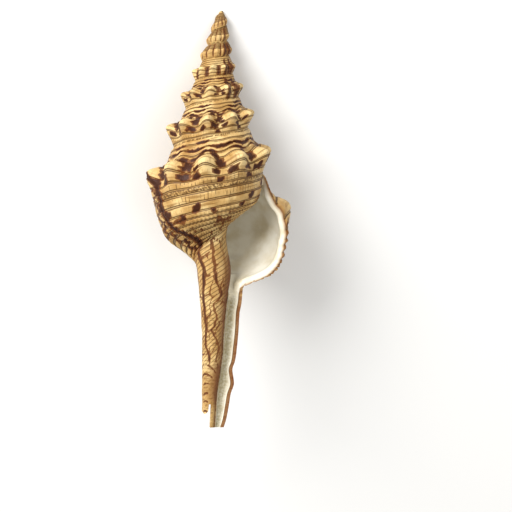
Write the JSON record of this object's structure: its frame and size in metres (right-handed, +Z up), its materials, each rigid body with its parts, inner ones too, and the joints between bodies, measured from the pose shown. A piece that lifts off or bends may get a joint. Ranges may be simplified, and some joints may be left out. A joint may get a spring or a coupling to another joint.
{
  "type": "murex shell",
  "caption": "Tall knobbed spindle-like sea shell with a pointed spire, an open mouth and a long open canal, lying on its back.",
  "frame": {"origin": "on the surface it lies on, under the middle of its outline", "axes": "+Z up, +Y towards the tip of the spire, +X towards the outer lip"},
  "size_m": [0.0434, 0.117, 0.0473],
  "materials": {
    "shell_matter": "satin"
  },
  "bodies": {
    "root": {"shell": "shell_matter"}
  },
  "joints": []
}
